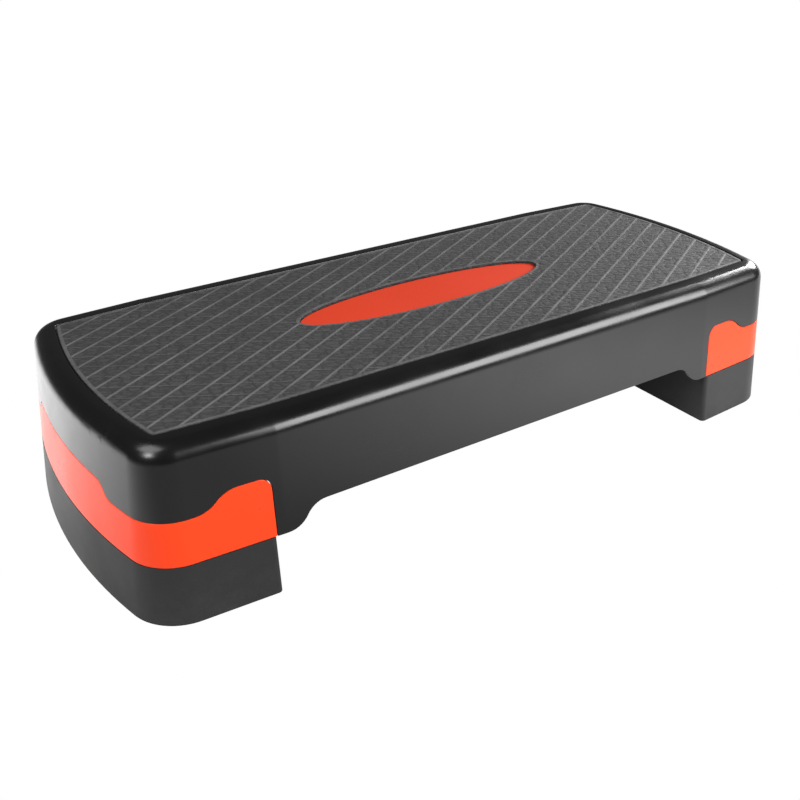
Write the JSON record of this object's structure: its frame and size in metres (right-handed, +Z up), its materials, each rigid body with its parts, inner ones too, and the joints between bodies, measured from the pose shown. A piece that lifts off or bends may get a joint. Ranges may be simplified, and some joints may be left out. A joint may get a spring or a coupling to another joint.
{
  "type": "aerobic step platform",
  "caption": "Low two-level exercise step: rounded ribbed deck with a diamond-tread mat and oval inlay, on stacked coloured risers and dark feet that pull off to lower it.",
  "frame": {"origin": "on the floor under the middle of the deck", "axes": "+X along the length, -Y the long side nearest the picture's camera, +Z up"},
  "size_m": [0.7032, 0.2986, 0.144],
  "materials": {
    "deck_black": "semi-gloss moulded black polypropylene",
    "mat_grey": "matte dark grey, fine grain with raised diamond lines",
    "inlay_orange": "satin orange red",
    "riser_orange": "semi-gloss moulded orange red polypropylene",
    "foot_black": "fine matte moulded black polypropylene",
    "pad_rubber": "matte black rubber"
  },
  "bodies": {
    "deck": {"deck_shell": "deck_black", "deck_mat": "mat_grey", "oval_inlay": "inlay_orange"},
    "left_riser": {"left_riser": "riser_orange"},
    "left_foot": {"left_foot": "foot_black", "left_front_inner_pad": "pad_rubber", "left_front_outer_pad": "pad_rubber", "left_rear_inner_pad": "pad_rubber", "left_rear_outer_pad": "pad_rubber"},
    "right_riser": {"right_riser": "riser_orange"},
    "right_foot": {"right_foot": "foot_black", "right_front_inner_pad": "pad_rubber", "right_front_outer_pad": "pad_rubber", "right_rear_inner_pad": "pad_rubber", "right_rear_outer_pad": "pad_rubber"}
  },
  "joints": [
    {"name": "left_riser_pull", "type": "slide", "parent": "deck", "child": "left_riser", "axis": [0, 0, -1], "range_m": [0, 0.08]},
    {"name": "left_foot_pull", "type": "slide", "parent": "left_riser", "child": "left_foot", "axis": [0, 0, -1], "range_m": [0, 0.05]},
    {"name": "right_riser_pull", "type": "slide", "parent": "deck", "child": "right_riser", "axis": [0, 0, -1], "range_m": [0, 0.08]},
    {"name": "right_foot_pull", "type": "slide", "parent": "right_riser", "child": "right_foot", "axis": [0, 0, -1], "range_m": [0, 0.05]}
  ]
}
